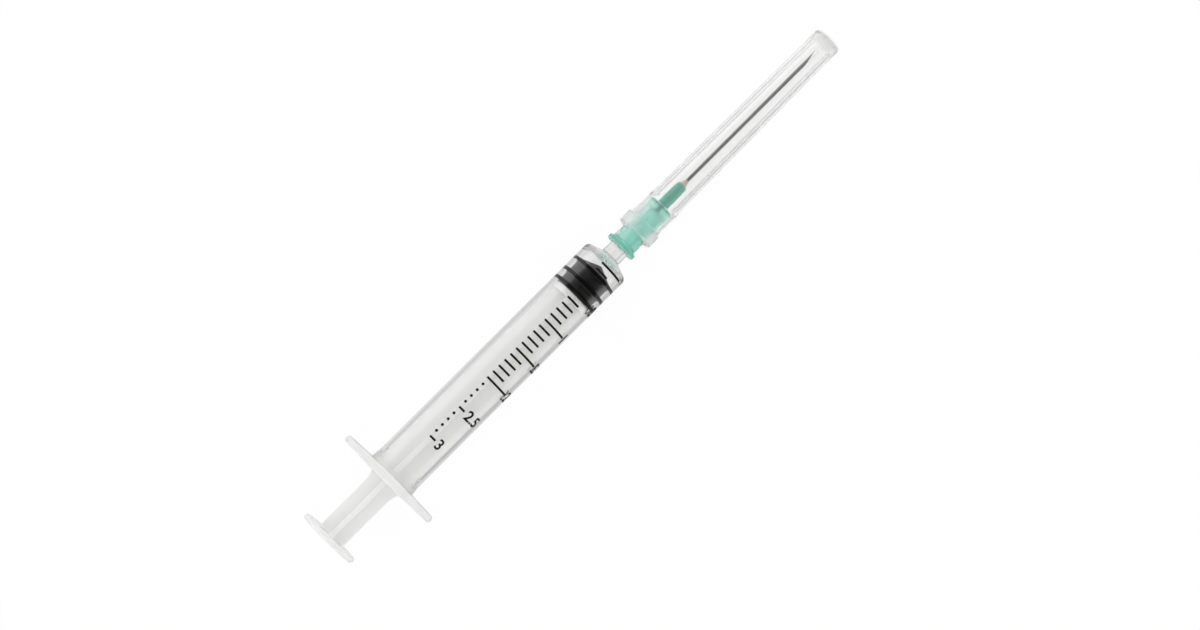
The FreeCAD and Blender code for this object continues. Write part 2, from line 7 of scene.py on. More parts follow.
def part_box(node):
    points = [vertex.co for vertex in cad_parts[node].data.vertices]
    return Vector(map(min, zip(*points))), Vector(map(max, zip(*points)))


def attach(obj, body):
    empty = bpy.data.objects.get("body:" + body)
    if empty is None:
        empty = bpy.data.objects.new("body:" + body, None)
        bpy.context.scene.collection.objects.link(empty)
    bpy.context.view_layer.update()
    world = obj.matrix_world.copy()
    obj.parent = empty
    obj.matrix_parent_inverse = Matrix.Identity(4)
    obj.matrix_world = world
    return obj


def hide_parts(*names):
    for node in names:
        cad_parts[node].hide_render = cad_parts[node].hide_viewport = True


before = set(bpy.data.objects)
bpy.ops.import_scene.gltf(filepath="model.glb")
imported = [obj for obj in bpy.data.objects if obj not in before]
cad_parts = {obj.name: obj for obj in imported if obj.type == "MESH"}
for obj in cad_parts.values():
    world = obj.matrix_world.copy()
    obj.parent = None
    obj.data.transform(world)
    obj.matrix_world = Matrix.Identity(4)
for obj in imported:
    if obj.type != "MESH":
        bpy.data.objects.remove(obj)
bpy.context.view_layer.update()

# Barrel: the tube, the two-winged finger flange, the stop ring in its mouth, the shoulder and the luer nozzle
# are one moulding of clear polypropylene, with slow flow ripple and a haze at flange and shoulder. Sections
# are drawn in millimetres, along the axis from a piece's rear end and out from the axis, and then spun.

MM = 0.001
AXIS = Vector((0, 0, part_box("barrel")[1].z / 2))
FULL_TURN = 2 * math.pi
SMOOTH_BELOW = math.radians(28)
DOUBLED = 0.0005 * MM
DOUBLED_IN_LINE = 0.0001 * MM
AT_PLACE = 0.002 * MM
CORNER_STEPS = 8


def start_afresh():
    """Leaves edit mode and deselects everything."""
    if bpy.context.mode != "OBJECT":
        bpy.ops.object.mode_set(mode="OBJECT")
    bpy.ops.object.select_all(action="DESELECT")


def take(*pieces):
    """Selects these pieces alone, in object mode, with the first one active."""
    start_afresh()
    for piece in pieces:
        piece.select_set(True)
    bpy.context.view_layer.objects.active = pieces[0]


def drawn(name, points):
    """A line drawn from point to point, in metres, left open in edit mode with all of it selected."""
    start_afresh()
    bpy.ops.mesh.primitive_plane_add(size=MM, location=points[0])
    piece = bpy.context.object
    piece.name = name
    bpy.ops.object.transform_apply(location=True, rotation=True, scale=True)
    bpy.ops.object.mode_set(mode="EDIT")
    bpy.ops.mesh.select_mode(type="VERT")
    bpy.ops.mesh.merge(type="CENTER")
    for start, end in zip(points, points[1:]):
        bpy.ops.mesh.extrude_vertices_move(TRANSFORM_OT_translate={"value": Vector(end) - Vector(start)})
    bpy.ops.mesh.select_all(action="SELECT")
    bpy.ops.mesh.remove_doubles(threshold=DOUBLED_IN_LINE)
    return piece


def pick(piece, kind, wanted):
    """Selects the vertices, edges or faces whose middle passes a test, and stays in edit mode."""
    bpy.ops.object.mode_set(mode="EDIT")
    bpy.ops.mesh.select_mode(type=kind)
    bpy.ops.mesh.select_all(action="DESELECT")
    bpy.ops.object.mode_set(mode="OBJECT")
    mesh = piece.data
    for part in {"VERT": mesh.vertices, "EDGE": mesh.edges, "FACE": mesh.polygons}[kind]:
        if kind == "VERT":
            middle = part.co
        elif kind == "EDGE":
            middle = (mesh.vertices[part.vertices[0]].co + mesh.vertices[part.vertices[1]].co) / 2
        else:
            middle = part.center
        part.select = wanted(middle)
    bpy.ops.object.mode_set(mode="EDIT")


def along_and_out(rear, point):
    """Millimetres from a piece's rear end, and from the axis."""
    return (point.x - rear) / MM, math.hypot(point.y, point.z - AXIS.z) / MM


def turn_of(point):
    """The turn of a point round the axis, from the top towards +Y."""
    return math.atan2(point.y, point.z - AXIS.z)


def round_corner(piece, place, radius):
    """Rounds one corner of a drawn section to a radius in millimetres."""
    pick(piece, "VERT", lambda point: (point - place).length < AT_PLACE)
    bpy.ops.object.mode_set(mode="OBJECT")
    mesh = piece.data
    corner = next(vertex.index for vertex in mesh.vertices if vertex.select)
    arms = [
        (mesh.vertices[edge.vertices[0] + edge.vertices[1] - corner].co - place).normalized()
        for edge in mesh.edges if corner in edge.vertices
    ]
    bend = math.pi - arms[0].angle(arms[1])
    bpy.ops.object.mode_set(mode="EDIT")
    bpy.ops.mesh.bevel(offset=radius * MM * math.tan(bend / 2), offset_type="OFFSET",
                       segments=CORNER_STEPS, affect="VERTICES")


def close_up():
    """Closes the seam and the poles and turns every face outwards."""
    bpy.ops.mesh.select_all(action="SELECT")
    bpy.ops.mesh.remove_doubles(threshold=DOUBLED)
    bpy.ops.mesh.normals_make_consistent(inside=False)


def turned(name, rear, section, steps):
    """A piece spun from its section, left in edit mode. A third number on a point is its corner's radius."""
    places = [Vector((rear + along * MM, 0, AXIS.z + out * MM)) for along, out, *_ in section]
    piece = drawn(name, places)
    for place, (_, _, *radius) in zip(places, section):
        if radius:
            round_corner(piece, place, radius[0])
    bpy.ops.mesh.select_all(action="SELECT")
    bpy.ops.mesh.spin(steps=steps, angle=FULL_TURN, center=AXIS, axis=(1, 0, 0))
    close_up()
    return piece


def joined(name, pieces):
    """Joins pieces into the first one, which gets the name."""
    take(*pieces)
    bpy.ops.object.join()
    pieces[0].name = name
    return pieces[0]


def finished(piece):
    """Leaves edit mode and smooths the curved faces, while true edges stay crisp."""
    take(piece)
    bpy.ops.object.shade_smooth_by_angle(angle=SMOOTH_BELOW)


barrel_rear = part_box("barrel")[0].x
BARREL_STEPS = 192
BARREL_RADIUS = 5.35
BORE_RADIUS = 4.45
ROOT_RADIUS = 5.55
STOP_RING_RADIUS = 4.3
SHOULDER = 62.09
NOZZLE_START, NOZZLE_END = 63.34, 71.84
NOZZLE_BORE_RADIUS = 1.05
NOZZLE_TIP_RADIUS = 1.9625
LUER_SLOPE = 0.03
nozzle_root_radius = NOZZLE_TIP_RADIUS + LUER_SLOPE * (NOZZLE_END - NOZZLE_START)
FLANGE_RADIUS = 11.75
FLANGE_HALF_DEPTH = 6.8
FLANGE_CORNER = 3.0
FLANGE_THICKNESS = 1.9
REAR_SLOPE, FRONT_SLOPE = 0.2, 0.32
RIM_ROUND = 0.5
ROOT_NEAR, RIM_NEAR = 0.02, 0.05
corner_height = FLANGE_HALF_DEPTH - FLANGE_CORNER
corner_reach = math.sqrt((FLANGE_RADIUS - FLANGE_CORNER) ** 2 - corner_height ** 2)

barrel = turned("clear_barrel_moulding", barrel_rear, [
    (0, ROOT_RADIUS), (0, 4.75, 0.1), (0.6, BORE_RADIUS, 0.5),
    (3.74, BORE_RADIUS, 2), (4.54, STOP_RING_RADIUS, 1), (5.34, BORE_RADIUS, 2),
    (60.94, BORE_RADIUS, 0.6), (62.84, NOZZLE_BORE_RADIUS, 0.3), (NOZZLE_END, NOZZLE_BORE_RADIUS, 0.08),
    (NOZZLE_END, NOZZLE_TIP_RADIUS, 0.15), (NOZZLE_START, nozzle_root_radius, 0.3),
    (SHOULDER, BARREL_RADIUS, 1), (3.9, BARREL_RADIUS, 3), (FLANGE_THICKNESS, ROOT_RADIUS),
], steps=BARREL_STEPS)


def flange_reach(turn):
    """How far the flange's rim is from the axis: round wings, two flats, and rounded corners between."""
    across, up = abs(math.sin(turn)), abs(math.cos(turn))
    if up * corner_reach < corner_height * across:
        return FLANGE_RADIUS
    if FLANGE_HALF_DEPTH * across < corner_reach * up:
        return FLANGE_HALF_DEPTH / up
    middle = corner_reach * across + corner_height * up
    off = corner_reach * up - corner_height * across
    return middle + math.sqrt(FLANGE_CORNER ** 2 - off ** 2)


def rim_line(face, slope):
    """The flange's outline at one of its faces, which slopes towards the rim."""
    points = []
    for step in range(BARREL_STEPS + 1):
        turn = FULL_TURN * step / BARREL_STEPS
        reach = flange_reach(turn)
        along = face + slope * (reach - ROOT_RADIUS) / (FLANGE_RADIUS - ROOT_RADIUS)
        points.append((barrel_rear + along * MM,
                       reach * math.sin(turn) * MM, AXIS.z + reach * math.cos(turn) * MM))
    return drawn("flange_rim_line", points)


def on_flange(sides, lines):
    """A test for the edges of the flange's root and rim lines, at its rear or front face."""
    def wanted(point):
        along, out = along_and_out(barrel_rear, point)
        side = "rear" if along < FLANGE_THICKNESS / 2 else "front"
        on_face = min(abs(along), abs(along - FLANGE_THICKNESS)) < ROOT_NEAR
        root = on_face and abs(out - ROOT_RADIUS) < ROOT_NEAR
        rim = abs(out - flange_reach(turn_of(point))) < RIM_NEAR
        return side in sides and ((root and "root" in lines) or (rim and "rim" in lines))
    return wanted


rims = [rim_line(face, slope) for face, slope in ((0, REAR_SLOPE), (FLANGE_THICKNESS, -FRONT_SLOPE))]
barrel = joined("clear_barrel_moulding", [barrel] + rims)
for test in (on_flange({"rear"}, {"root", "rim"}), on_flange({"rear", "front"}, {"rim"}),
             on_flange({"front"}, {"root", "rim"})):
    pick(barrel, "EDGE", test)
    bpy.ops.mesh.bridge_edge_loops()
near_rim = on_flange({"rear", "front"}, {"rim"})


def along_rim(point):
    """True for the rim's two edge lines, and not for the edges that cross it."""
    return near_rim(point) and abs(along_and_out(barrel_rear, point)[0] - FLANGE_THICKNESS / 2) > 0.5


pick(barrel, "EDGE", along_rim)
bpy.ops.mesh.bevel(offset=RIM_ROUND * MM, offset_type="OFFSET", segments=6, affect="EDGES",
                   clamp_overlap=True)
close_up()
finished(barrel)

# The Mix node's low, high and result sockets, for numbers and for colours.
MIX_SOCKETS = {"FLOAT": (2, 3, 0), "RGBA": (6, 7, 2)}


def feed(tree, socket, source):
    """Links a socket to another node's output, or sets it to a plain number or colour."""
    if isinstance(source, bpy.types.NodeSocket):
        tree.links.new(source, socket)
    else:
        socket.default_value = source


def worked_out(tree, operation, *sources, clamp=False):
    """What a Math node gives."""
    node = tree.nodes.new("ShaderNodeMath")
    node.operation = operation
    node.use_clamp = clamp
    for socket, source in zip(node.inputs, sources):
        feed(tree, socket, source)
    return node.outputs[0]


def noise(tree, place, scale, detail):
    """A noise's value at a place."""
    node = tree.nodes.new("ShaderNodeTexNoise")
    for name, source in (("Vector", place), ("Scale", scale), ("Detail", detail)):
        feed(tree, node.inputs[name], source)
    return node.outputs["Fac"]


def mixed(tree, kind, share, low, high):
    """A number or a colour between two others."""
    node = tree.nodes.new("ShaderNodeMix")
    node.data_type = kind
    low_socket, high_socket, result = MIX_SOCKETS[kind]
    for index, source in ((0, share), (low_socket, low), (high_socket, high)):
        feed(tree, node.inputs[index], source)
    return node.outputs[result]


def ranged(tree, number, start, end, low=0.0, high=1.0, easing="LINEAR"):
    """A number between start and end becomes one between low and high."""
    node = tree.nodes.new("ShaderNodeMapRange")
    node.interpolation_type = easing
    for name, source in (("Value", number), ("From Min", start), ("From Max", end),
                         ("To Min", low), ("To Max", high)):
        feed(tree, node.inputs[name], source)
    return node.outputs[0]


def split_place(tree, place):
    """The three numbers of a place or a direction."""
    node = tree.nodes.new("ShaderNodeSeparateXYZ")
    feed(tree, node.inputs[0], place)
    return node.outputs


def moulded_surface():
    """A node group for a moulded surface: slow ripple drawn out along the piece, fine grain, uneven gloss."""
    group = bpy.data.node_groups.new("moulded_surface", "ShaderNodeTree")
    sockets = group.interface
    sockets.new_socket("Place", in_out="INPUT", socket_type="NodeSocketVector")
    for name in ("Ripple size", "Grain size", "Gloss", "Gloss spread"):
        sockets.new_socket(name, in_out="INPUT", socket_type="NodeSocketFloat")
    for name in ("Height", "Roughness", "Cloud"):
        sockets.new_socket(name, in_out="OUTPUT", socket_type="NodeSocketFloat")
    entry = group.nodes.new("NodeGroupInput").outputs
    leave = group.nodes.new("NodeGroupOutput").inputs
    drawn_out = group.nodes.new("ShaderNodeMapping")
    drawn_out.inputs["Scale"].default_value = (0.22, 1, 1)
    feed(group, drawn_out.inputs["Vector"], entry["Place"])
    ripple = noise(group, drawn_out.outputs["Vector"], entry["Ripple size"], 2)
    grain = noise(group, entry["Place"], entry["Grain size"], 3)
    fine = worked_out(group, "MULTIPLY", grain, 0.12)
    feed(group, leave["Height"], worked_out(group, "ADD", ripple, fine))
    feed(group, leave["Roughness"],
         worked_out(group, "MULTIPLY_ADD", ripple, entry["Gloss spread"], entry["Gloss"]))
    feed(group, leave["Cloud"], ripple)
    return group


MOULDED = moulded_surface()
POLYPROPYLENE_IOR = 1.49


def moulded_finish(name, settings, ripple_size, grain_size, gloss, gloss_spread, depth, tints):
    """A material with the moulded surface on it.

    The settings are plain values for the shader's own sockets, and the depth is the ripple's height in
    millimetres. Of two tints, the colour drifts between them with the ripple, and one tint is plain.
    """
    material = bpy.data.materials.new(name)
    material.use_nodes = True
    tree = material.node_tree
    shader = tree.nodes["Principled BSDF"].inputs
    shader["Base Color"].default_value = tints[0]
    for socket, setting in settings.items():
        shader[socket].default_value = setting
    surface = tree.nodes.new("ShaderNodeGroup")
    surface.node_tree = MOULDED
    place = tree.nodes.new("ShaderNodeTexCoord")
    for socket, source in (("Place", place.outputs["Object"]), ("Ripple size", ripple_size),
                           ("Grain size", grain_size), ("Gloss", gloss), ("Gloss spread", gloss_spread)):
        feed(tree, surface.inputs[socket], source)
    bump = tree.nodes.new("ShaderNodeBump")
    bump.inputs["Distance"].default_value = depth * MM
    feed(tree, bump.inputs["Height"], surface.outputs["Height"])
    feed(tree, shader["Normal"], bump.outputs["Normal"])
    feed(tree, shader["Roughness"], surface.outputs["Roughness"])
    if len(tints) == 2:
        feed(tree, shader["Base Color"], mixed(tree, "RGBA", surface.outputs["Cloud"], *tints))
    return material


def by_place(material, socket_name, origin, start, end, near=None, far=None, axis="X"):
    """Fades a colour or a number into one of the shader's sockets, between two places on an axis.

    The places are millimetres from the origin. Left out, near or far is what the socket has so far.
    """
    tree = material.node_tree
    socket = tree.nodes["Principled BSDF"].inputs[socket_name]
    so_far = socket.links[0].from_socket if socket.links else socket.default_value
    place = tree.nodes.new("ShaderNodeTexCoord").outputs["Object"]
    fade = ranged(tree, split_place(tree, place)[axis], origin + start * MM, origin + end * MM,
                  easing="SMOOTHSTEP")
    kind = "RGBA" if socket.type == "RGBA" else "FLOAT"
    low = so_far if near is None else near
    high = so_far if far is None else far
    feed(tree, socket, mixed(tree, kind, fade, low, high))


def wear(piece, material):
    """Gives the whole piece one material."""
    piece.data.materials.clear()
    piece.data.materials.append(material)


def wear_where(piece, material, wanted):
    """Gives a second material to the faces whose middle passes a test."""
    piece.data.materials.append(material)
    for face in piece.data.polygons:
        if wanted(face.center):
            face.material_index = 1


FLANGE_HAZE_END = 5.4
clear_plastic = moulded_finish(
    "clear_polypropylene", {"IOR": POLYPROPYLENE_IOR, "Transmission Weight": 1.0},
    ripple_size=260, grain_size=4200, gloss=0.03, gloss_spread=0.05, depth=0.0004,
    tints=[(0.998, 0.998, 0.993, 1)])
by_place(clear_plastic, "Roughness", barrel_rear, FLANGE_THICKNESS, FLANGE_HAZE_END, near=0.35)
by_place(clear_plastic, "Roughness", barrel_rear, 60.6, 62.0, far=0.24)
by_place(clear_plastic, "Base Color", barrel_rear, FLANGE_THICKNESS, FLANGE_HAZE_END,
         near=(0.96, 0.96, 0.95, 1))
wear(barrel, clear_plastic)

hazy_plastic = moulded_finish(
    "hazy_polypropylene",
    {"IOR": POLYPROPYLENE_IOR, "Transmission Weight": 0.35, "Subsurface Weight": 1.0,
     "Subsurface Radius": (1.0, 1.0, 0.95), "Subsurface Scale": 2 * MM},
    ripple_size=320, grain_size=3800, gloss=0.3, gloss_spread=0.12, depth=0.006,
    tints=[(0.86, 0.86, 0.85, 1), (0.91, 0.91, 0.9, 1)])


def on_thick_rim(point):
    along, out = along_and_out(barrel_rear, point)
    return along < 2.2 and out > flange_reach(turn_of(point)) - 0.6


wear_where(barrel, hazy_plastic, on_thick_rim)
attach(barrel, "barrel_body")
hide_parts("barrel")

# Scale: black ink, pad-printed on the barrel's top and a few hundredths of a millimetre thick. Lines mark the
# tenths of a millilitre up to 2 mL, dots and dashes go on to 3 mL, and a plain number stands at each half.

ZERO_LINE = 60.84
LENGTH_PER_ML = 1000 / (math.pi * BORE_RADIUS ** 2)
LAST_LINE, LAST_DASH = 20, 30
INK_RADIUS = BARREL_RADIUS - 0.008
INK_THICKNESS = 0.035
MARK_WIDTH = 0.45
LINE_START, LONG_SWEEP, SHORT_SWEEP = -5.5, 66, 33.1
DASH_START, DASH_SWEEP = -3, 16
DOT_START, DOT_RADIUS, DOT_EDGE = -1, 0.3, 0.06


def on_barrel(along, out, turn):
    """A point on the barrel. The turn starts at the top and grows towards -Y."""
    return (barrel_rear + along * MM, -out * math.sin(turn) * MM, AXIS.z + out * math.cos(turn) * MM)


def level_of(tenth):
    """Where the mark for a number of tenths of a millilitre stands along the barrel."""
    return ZERO_LINE - tenth * LENGTH_PER_ML / 10


def modified(piece, kind, **settings):
    """Gives a piece one modifier and applies it."""
    take(piece)
    modifier = piece.modifiers.new(kind.lower(), kind)
    for name, setting in settings.items():
        setattr(modifier, name, setting)
    bpy.ops.object.modifier_apply(modifier=modifier.name)


def face_outwards(piece):
    """Turns every face of open ink away from the axis, and leaves edit mode on."""
    bpy.ops.object.mode_set(mode="EDIT")
    bpy.ops.mesh.select_mode(type="FACE")
    bpy.ops.mesh.select_all(action="DESELECT")
    bpy.ops.object.mode_set(mode="OBJECT")
    for face in piece.data.polygons:
        away = Vector((0, face.center.y, face.center.z - AXIS.z))
        face.select = face.normal.dot(away) < 0
    bpy.ops.object.mode_set(mode="EDIT")
    bpy.ops.mesh.flip_normals()


def ink_line(tenth, start, sweep):
    """One line or dash of the scale, spun part of the way round the barrel, in a step for two degrees."""
    ends = [on_barrel(level_of(tenth) + side * MARK_WIDTH / 2, INK_RADIUS, math.radians(start))
            for side in (1, -1)]
    line = drawn(f"line_{tenth}", ends)
    bpy.ops.mesh.spin(steps=round(sweep / 2), angle=math.radians(sweep), center=AXIS, axis=(-1, 0, 0))
    return line


def ink_dot(tenth):
    """One dot of the scale, a small disc with an inset edge."""
    middle = on_barrel(level_of(tenth), INK_RADIUS, math.radians(DOT_START))
    start_afresh()
    bpy.ops.mesh.primitive_circle_add(vertices=24, radius=DOT_RADIUS * MM, fill_type="NGON", location=middle)
    dot = bpy.context.object
    bpy.ops.object.transform_apply(location=True, rotation=True, scale=True)
    bpy.ops.object.mode_set(mode="EDIT")
    bpy.ops.mesh.select_all(action="SELECT")
    bpy.ops.mesh.inset(thickness=DOT_EDGE * MM)
    return dot


def ink_mark(tenth):
    """The mark that the scale has at a number of tenths."""
    if tenth > LAST_LINE:
        return ink_dot(tenth) if tenth % 5 else ink_line(tenth, DASH_START, DASH_SWEEP)
    return ink_line(tenth, LINE_START, SHORT_SWEEP if tenth % 5 else LONG_SWEEP)


scale_print = joined("scale_print", [ink_mark(tenth) for tenth in range(LAST_DASH + 1)])
face_outwards(scale_print)
modified(scale_print, "SOLIDIFY", thickness=INK_THICKNESS * MM, offset=1)

FONT_SIZE = 1.36
CUT_WIDTH = 0.22
AT_LINE = (2.5, 63.5, 0.075)
NUMBERS = {5: AT_LINE, 10: AT_LINE, 15: AT_LINE, 20: AT_LINE, 25: (2.35, 20, 0.075), 30: (2.35, 19, 0.06)}


def printed_number(tenth, height, start, boldness):
    """A number rolled on to the barrel beside its mark: tops towards the needle, read towards -Y.

    It is typed flat, a metre for a millimetre, and cut into strips that bend with the barrel.
    """
    start_afresh()
    bpy.ops.object.text_add(location=(0, 0, 0))
    number = bpy.context.object
    number.data.body = f"{tenth / 10:g}"
    number.data.size = height * FONT_SIZE
    number.data.align_y = "CENTER"
    number.data.offset = boldness
    number.data.resolution_u = 6
    bpy.ops.object.convert(target="MESH")
    bpy.ops.object.mode_set(mode="EDIT")
    bpy.ops.mesh.select_all(action="SELECT")
    bpy.ops.mesh.remove_doubles(threshold=0.001)
    corners = [vertex.co for vertex in number.data.vertices]
    left, right = min(corner.x for corner in corners), max(corner.x for corner in corners)
    low, high = min(corner.y for corner in corners), max(corner.y for corner in corners)
    strips = math.ceil((right - left) / CUT_WIDTH)
    for strip in range(1, strips):
        bpy.ops.mesh.select_all(action="SELECT")
        bpy.ops.mesh.bisect(plane_co=(left + strip * (right - left) / strips, 0, 0), plane_no=(1, 0, 0))
    bpy.ops.object.mode_set(mode="OBJECT")
    squeeze = height / (high - low)
    for vertex in number.data.vertices:
        along = level_of(tenth) + (vertex.co.y - (low + high) / 2) * squeeze
        turn = math.radians(start) + (vertex.co.x - left) * squeeze / BARREL_RADIUS
        vertex.co = on_barrel(along, INK_RADIUS, turn)
    face_outwards(number)
    return number


scale_numbers = joined("scale_numbers", [printed_number(tenth, *layout) for tenth, layout in NUMBERS.items()])
modified(scale_numbers, "SOLIDIFY", thickness=INK_THICKNESS * MM, offset=1)

ink = moulded_finish(
    "black_ink", {"IOR": 1.4, "Specular IOR Level": 0.1},
    ripple_size=900, grain_size=9000, gloss=0.38, gloss_spread=0.2, depth=0.003,
    tints=[(0.007, 0.006, 0.005, 1), (0.017, 0.015, 0.012, 1)])
for print_piece in (scale_print, scale_numbers):
    finished(print_piece)
    wear(print_piece, ink)
    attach(print_piece, "barrel_body")
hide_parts("scale_marks")

# Stopper: one black rubber moulding, lightly oiled. Its three rings press on the bore, so they show black up
# to the barrel's edge, and the grooves between them stand clear. The rod's knob snaps into its cavity.

stopper_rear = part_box("stopper")[0].x
RING_RADIUS = 4.458
GROOVE_RADIUS = 4.15
stopper = turned("rubber_stopper", stopper_rear, [
    (8.1, 0), (8.1, 0.3, 0.25), (6.3, 4.2, 0.1),
    (6.2, RING_RADIUS, 0.06), (5.5, RING_RADIUS, 0.06),
    (5.35, GROOVE_RADIUS, 0.25), (3.45, GROOVE_RADIUS, 0.25),
    (3.3, RING_RADIUS, 0.06), (2.5, RING_RADIUS, 0.06),
    (2.35, GROOVE_RADIUS, 0.25), (1.0, GROOVE_RADIUS, 0.25),
    (0.85, RING_RADIUS, 0.06), (0.1, RING_RADIUS, 0.05), (0, 4.3, 0.06), (0, 1.6, 0.15),
    (1.3, 1.6), (1.3, 2.4), (2.5, 2.4), (3.9, 1.0), (3.9, 0),
], steps=160)
finished(stopper)
rubber = moulded_finish(
    "black_rubber", {"IOR": 1.52, "Specular IOR Level": 0.35},
    ripple_size=500, grain_size=6500, gloss=0.35, gloss_spread=0.2, depth=0.004,
    tints=[(0.003, 0.003, 0.004, 1), (0.01, 0.011, 0.013, 1)])
wear(stopper, rubber)

pressed_rubber = moulded_finish(
    "pressed_rubber", {"IOR": 1.05, "Specular IOR Level": 0.0},
    ripple_size=500, grain_size=6500, gloss=0.6, gloss_spread=0.2, depth=0.002,
    tints=[(0.002, 0.002, 0.002, 1), (0.006, 0.006, 0.007, 1)])
wear_where(stopper, pressed_rubber, lambda point: along_and_out(stopper_rear, point)[1] > BORE_RADIUS - 0.02)
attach(stopper, "stopper_body")
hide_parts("stopper")

# Plunger rod: one moulding of milky polypropylene. Two crossed pairs of ribs run from the thumb disc to the
# head disc, narrow where the fingers hold them and flaring to the bore's width, with a necked knob in front.

rod_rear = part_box("plunger_rod")[0].x
HALF_WAIST, HALF_WIDTH = 3.1, 4.2
RIB_THICKNESS = 1.15
RIB_REAR, FLARE_START, FLARE_END, RIB_FRONT = 0.6, 14.2, 17.9, 67.87
FLARE_ROUND, RIB_EDGE_ROUND = 0.9, 0.16
THUMB_RADIUS, THUMB_THICKNESS, THUMB_HOLLOW = 6.6, 1.2, 0.14


def raise_outline(height):
    """Fills the drawn outline and extrudes it upwards, in millimetres, into a solid."""
    bpy.ops.mesh.select_all(action="SELECT")
    bpy.ops.mesh.edge_face_add()
    bpy.ops.mesh.extrude_region_move(TRANSFORM_OT_translate={"value": (0, 0, height * MM)})
    bpy.ops.mesh.select_all(action="SELECT")
    bpy.ops.mesh.normals_make_consistent(inside=False)


def rib_pair():
    """A long blade with a waist, drawn flat, given its thickness, its edges eased, left in edit mode."""
    half = [(RIB_REAR, HALF_WAIST), (FLARE_START, HALF_WAIST),
            (FLARE_END, HALF_WIDTH), (RIB_FRONT, HALF_WIDTH)]
    corners = half + [(along, -across) for along, across in reversed(half)] + half[:1]
    rib = drawn("rib_pair", [(rod_rear + along * MM, across * MM, AXIS.z - RIB_THICKNESS / 2 * MM)
                             for along, across in corners])
    for along in (FLARE_START, FLARE_END):
        pick(rib, "VERT", lambda point: abs((point.x - rod_rear) / MM - along) < 0.002)
        bpy.ops.mesh.bevel(offset=FLARE_ROUND * MM, offset_type="OFFSET", segments=10, affect="VERTICES")
    raise_outline(RIB_THICKNESS)
    pick(rib, "EDGE", lambda point: abs(abs(point.z - AXIS.z) / MM - RIB_THICKNESS / 2) < 0.001)
    bpy.ops.mesh.bevel(offset=RIB_EDGE_ROUND * MM, offset_type="OFFSET", segments=4, affect="EDGES")
    return rib


def combined(piece, other, operation):
    """Adds another solid to a piece, or takes it off, and removes the other."""
    modified(piece, "BOOLEAN", operation=operation, solver="EXACT", object=other)
    bpy.data.objects.remove(other)


rod = rib_pair()
rod.name = "milky_plunger_rod"
top_ribs = rib_pair()
bpy.ops.mesh.select_all(action="SELECT")
bpy.ops.transform.rotate(value=math.pi / 2, orient_axis="X", center_override=AXIS)
thumb_disc = turned("thumb_disc", rod_rear, [
    (THUMB_HOLLOW, 0), (THUMB_HOLLOW, 3.6, 0.3), (0, 3.8, 0.3),
    (0, 4.4, 0.3), (THUMB_HOLLOW, 4.6, 0.1), (0, 4.8, 0.3),
    (0, THUMB_RADIUS, 0.55), (THUMB_THICKNESS, THUMB_RADIUS, 0.55), (THUMB_THICKNESS, 0),
], steps=160)
head = turned("head_and_knob", rod_rear, [
    (67.17, 0), (67.17, HALF_WIDTH, 0.2), (68.57, HALF_WIDTH, 0.2), (68.57, 1.5, 0.3),
    (70.07, 1.5), (70.07, 2.3, 0.12), (71.07, 2.3, 0.3), (72.47, 0.9, 0.3), (72.47, 0),
], steps=96)
for other in (top_ribs, thumb_disc, head):
    combined(rod, other, "UNION")
bpy.ops.object.mode_set(mode="EDIT")
bpy.ops.mesh.select_all(action="SELECT")
bpy.ops.mesh.remove_doubles(threshold=DOUBLED)
finished(rod)
milky = moulded_finish(
    "milky_polypropylene",
    {"IOR": POLYPROPYLENE_IOR, "Transmission Weight": 0.25, "Subsurface Weight": 1.0,
     "Subsurface Radius": (1.0, 1.0, 0.95), "Subsurface Scale": 0.6 * MM},
    ripple_size=320, grain_size=3800, gloss=0.28, gloss_spread=0.12, depth=0.006,
    tints=[(0.915, 0.915, 0.905, 1), (0.965, 0.965, 0.955, 1)])
wear(rod, milky)
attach(rod, "rod_body")
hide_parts("plunger_rod")

# Needle hub: one moulding of mint green polypropylene, clear enough to see the dose in. Its collar rings the
# mouth of the luer socket that grips the nozzle, and its nose holds the tube. Both are thick, and so deeper.

hub_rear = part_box("needle_hub")[0].x
COLLAR_RADIUS = 3.4
HUB_RADIUS = 2.8
SOCKET_MOUTH_RADIUS, SOCKET_DEPTH = 2.155, 10.4
TUBE_HOLE_RADIUS = 0.42
socket_end_radius = SOCKET_MOUTH_RADIUS - LUER_SLOPE * SOCKET_DEPTH
hub = turned("green_needle_hub", hub_rear, [
    (0, SOCKET_MOUTH_RADIUS), (0, COLLAR_RADIUS, 0.12), (0.8, COLLAR_RADIUS, 0.12), (1.2, HUB_RADIUS, 0.2),
    (11.75, HUB_RADIUS, 0.2), (12, 2.55, 0.1), (12, 1.3, 0.15), (17.8, 1.15, 0.15), (18, 0.95, 0.04),
    (18, 0.8), (16.8, TUBE_HOLE_RADIUS), (SOCKET_DEPTH, TUBE_HOLE_RADIUS),
    (SOCKET_DEPTH, socket_end_radius, 0.2), (0, SOCKET_MOUTH_RADIUS),
], steps=144)
finished(hub)
green = moulded_finish(
    "green_polypropylene",
    {"IOR": POLYPROPYLENE_IOR, "Transmission Weight": 0.85, "Subsurface Weight": 1.0,
     "Subsurface Radius": (0.6, 1.0, 0.9), "Subsurface Scale": 0.8 * MM},
    ripple_size=420, grain_size=4600, gloss=0.05, gloss_spread=0.08, depth=0.004,
    tints=[(0.55, 0.87, 0.8, 1), (0.66, 0.92, 0.86, 1)])
# Painted light and shade: the green is painted paler towards +Y, the lit side, and deeper towards -Y, the
# shaded side.
by_place(green, "Base Color", 0, -3.2, -0.2, near=(0.42, 0.79, 0.71, 1), axis="Y")
by_place(green, "Base Color", 0, 0, 2.4, far=(0.75, 0.94, 0.89, 1), axis="Y")
by_place(green, "Base Color", hub_rear, 9.6, 11.6, far=(0.42, 0.8, 0.71, 1))
wear(hub, green)

